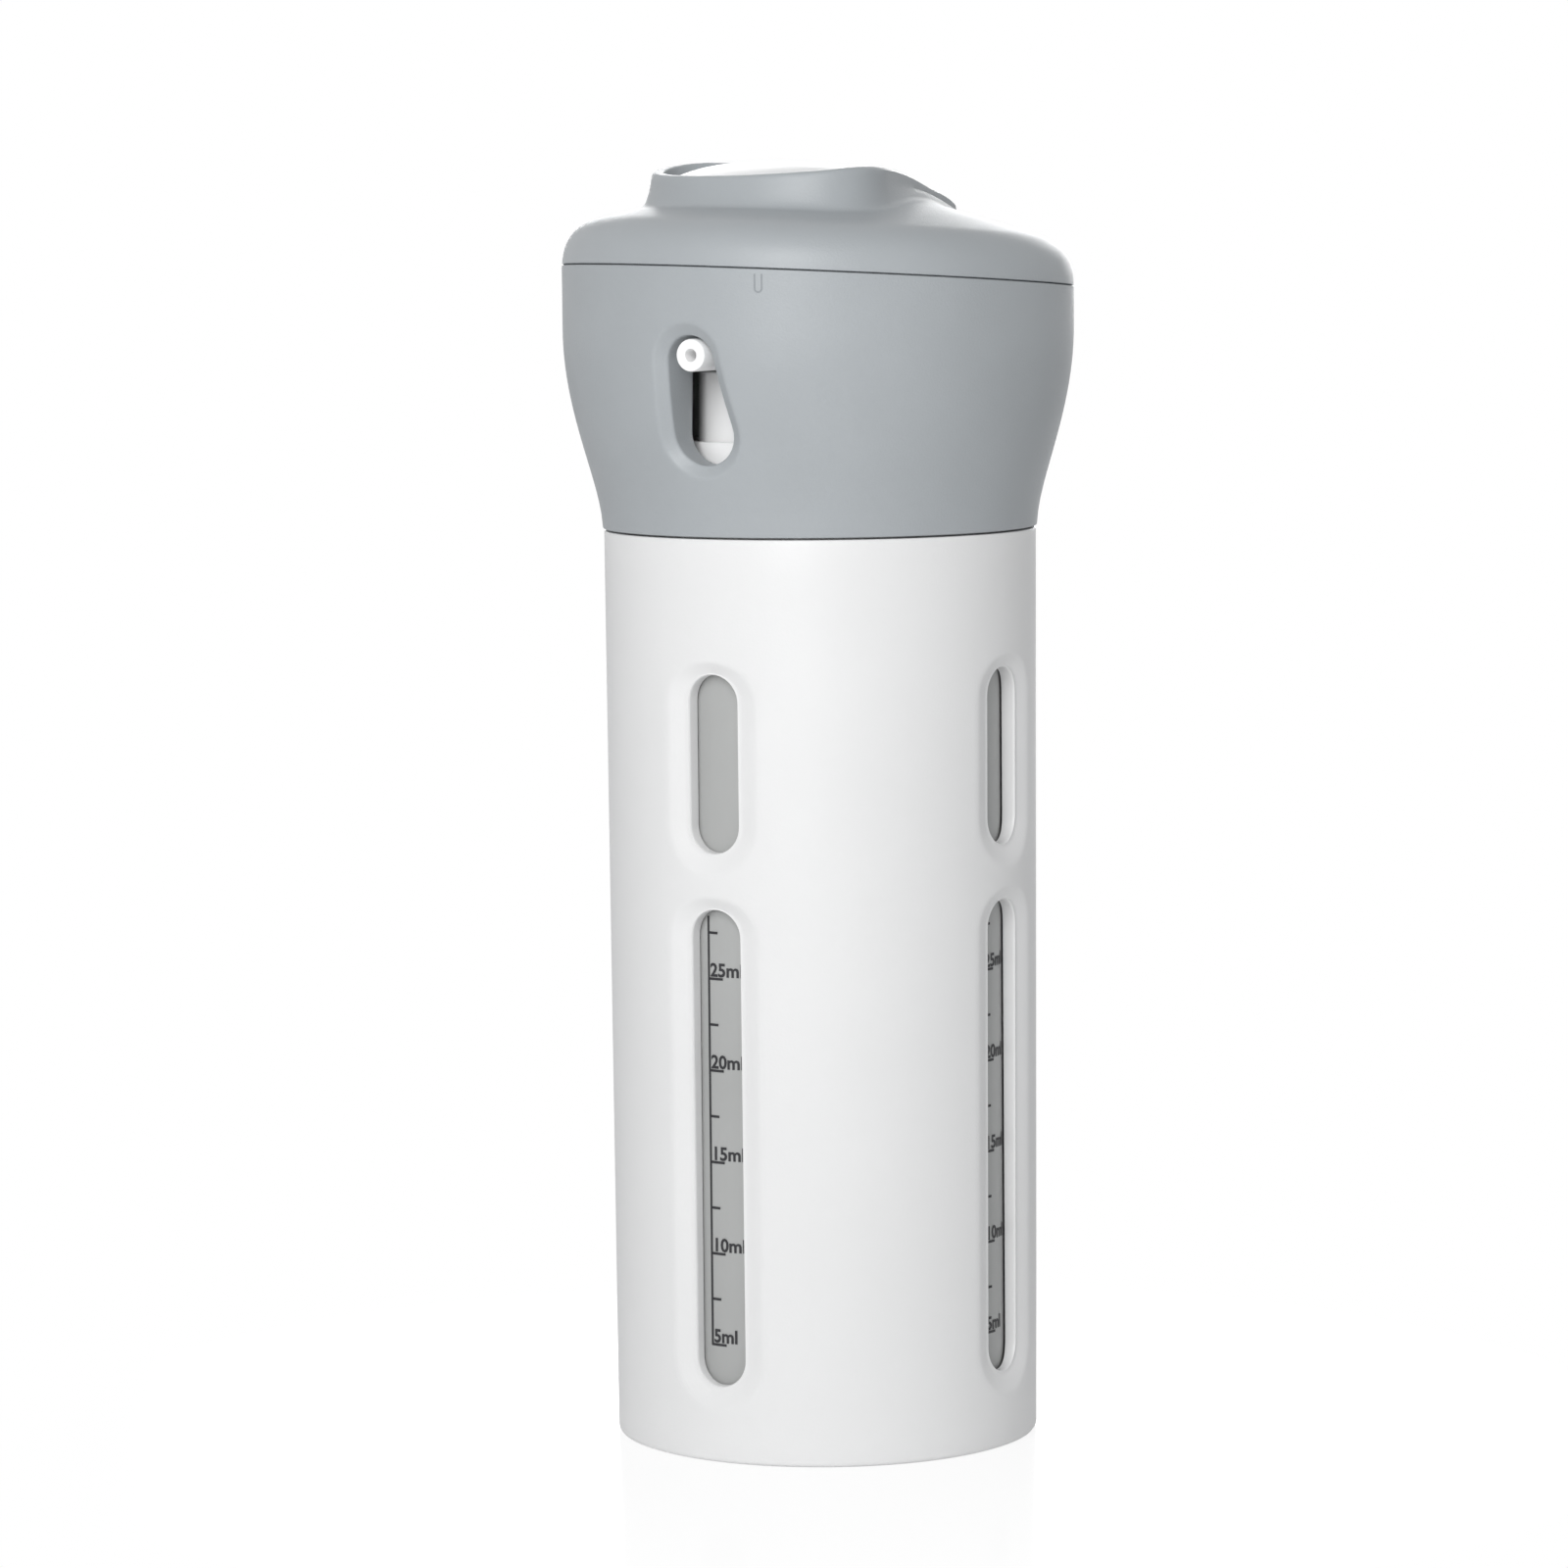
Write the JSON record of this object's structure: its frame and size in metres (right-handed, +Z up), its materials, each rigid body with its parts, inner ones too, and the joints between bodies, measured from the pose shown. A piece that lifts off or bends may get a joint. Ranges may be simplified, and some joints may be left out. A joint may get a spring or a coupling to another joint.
{
  "type": "travel dispenser bottle",
  "caption": "Refillable travel dispenser: bottles with pumps stand in a white windowed case under a turning grey head with a push button and one nozzle.",
  "frame": {"origin": "centre of the base, on the surface it stands on", "axes": "+Z up along the case, -Y towards the nozzle"},
  "size_m": [0.0802, 0.0802, 0.2008],
  "materials": {
    "head_grey": "satin moulded",
    "case_white": "satin moulded",
    "bottle_clear": "frosted translucent",
    "pump_white": "smooth moulded",
    "pump_natural": "natural moulded",
    "seal": "soft",
    "spring_steel": "drawn wire"
  },
  "bodies": {
    "case": {"outer_case": "case_white", "bottle_holder": "case_white", "bottle_1": "bottle_clear", "bottle_2": "bottle_clear", "bottle_3": "bottle_clear", "bottle_4": "bottle_clear", "gasket_1": "seal", "gasket_2": "seal", "gasket_3": "seal", "gasket_4": "seal", "pump_housing_1": "pump_natural", "pump_housing_2": "pump_natural", "pump_housing_3": "pump_natural", "pump_housing_4": "pump_natural", "pump_closure_1": "pump_white", "pump_closure_2": "pump_white", "pump_closure_3": "pump_white", "pump_closure_4": "pump_white", "pump_spring_1": "spring_steel", "pump_spring_2": "spring_steel", "pump_spring_3": "spring_steel", "pump_spring_4": "spring_steel", "inlet_ball_1": "spring_steel", "inlet_ball_2": "spring_steel", "inlet_ball_3": "spring_steel", "inlet_ball_4": "spring_steel", "dip_tube_1": "pump_natural", "dip_tube_2": "pump_natural", "dip_tube_3": "pump_natural", "dip_tube_4": "pump_natural"},
    "pump_1": {"pump_actuator_1": "pump_white", "pump_piston_1": "pump_natural"},
    "pump_2": {"pump_actuator_2": "pump_white", "pump_piston_2": "pump_natural"},
    "pump_3": {"pump_actuator_3": "pump_white", "pump_piston_3": "pump_natural"},
    "pump_4": {"pump_actuator_4": "pump_white", "pump_piston_4": "pump_natural"},
    "ring": {"turn_ring": "head_grey"},
    "head": {"head_collar": "head_grey", "head_cap": "head_grey"},
    "button": {"push_button": "case_white", "spout": "pump_white"}
  },
  "joints": [
    {"name": "head_lift", "type": "slide", "parent": "case", "child": "ring", "axis": [0, 0, 1], "range_m": [0, 0.05]},
    {"name": "head_turn", "type": "hinge", "parent": "ring", "child": "head", "pos_m": [0, 0, 0.147], "axis": [0, 0, 1], "continuous": true},
    {"name": "button_press", "type": "slide", "parent": "head", "child": "button", "axis": [0, 0, -1], "range_m": [0, 0.0104], "stiffness_N_per_m": 60, "springref_m": -0.004},
    {"name": "pump_1_stroke", "type": "slide", "parent": "case", "child": "pump_1", "axis": [0, 0, -1], "range_m": [0, 0.0104], "stiffness_N_per_m": 350, "springref_m": -0.004, "deforming": ["pump_spring_1"]},
    {"name": "pump_2_stroke", "type": "slide", "parent": "case", "child": "pump_2", "axis": [0, 0, -1], "range_m": [0, 0.0104], "stiffness_N_per_m": 350, "springref_m": -0.004, "deforming": ["pump_spring_2"]},
    {"name": "pump_3_stroke", "type": "slide", "parent": "case", "child": "pump_3", "axis": [0, 0, -1], "range_m": [0, 0.0104], "stiffness_N_per_m": 350, "springref_m": -0.004, "deforming": ["pump_spring_3"]},
    {"name": "pump_4_stroke", "type": "slide", "parent": "case", "child": "pump_4", "axis": [0, 0, -1], "range_m": [0, 0.0104], "stiffness_N_per_m": 350, "springref_m": -0.004, "deforming": ["pump_spring_4"]}
  ],
  "couplings": [
    {"joint": "pump_1_stroke", "follows": "button_press", "ratio": 1}
  ]
}
